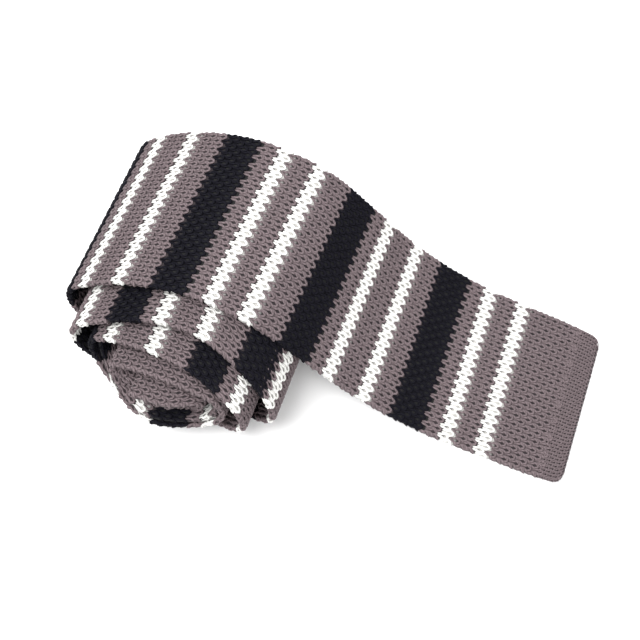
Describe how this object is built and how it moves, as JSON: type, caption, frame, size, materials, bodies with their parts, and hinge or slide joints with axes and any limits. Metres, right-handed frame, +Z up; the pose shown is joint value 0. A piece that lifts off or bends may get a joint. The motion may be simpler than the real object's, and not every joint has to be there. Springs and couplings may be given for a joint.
{
  "type": "rolled knit tie",
  "caption": "Square-ended knitted necktie in crosswise stripes, rolled up from the fold in its neck with the end of its blade lying out flat",
  "frame": {"origin": "the middle of the underside of the whole tie's box, on the surface that it rests on", "axes": "+X along the blade toward its hem, +Y along the roll's axis away from its seen end, +Z up"},
  "size_m": [0.1766, 0.0964, 0.0411],
  "materials": {
    "knitted_strip": "mauve grey tuck-stitch silk knit with white and blue-black crosswise stripes",
    "front_hem_cuff": "the same yarn in a finer, denser rib",
    "tail_hem_cuff": "the same yarn in a finer, denser rib"
  },
  "bodies": {
    "root": {"knitted_strip": "knitted_strip", "front_hem_cuff": "front_hem_cuff", "tail_hem_cuff": "tail_hem_cuff"}
  },
  "joints": []
}
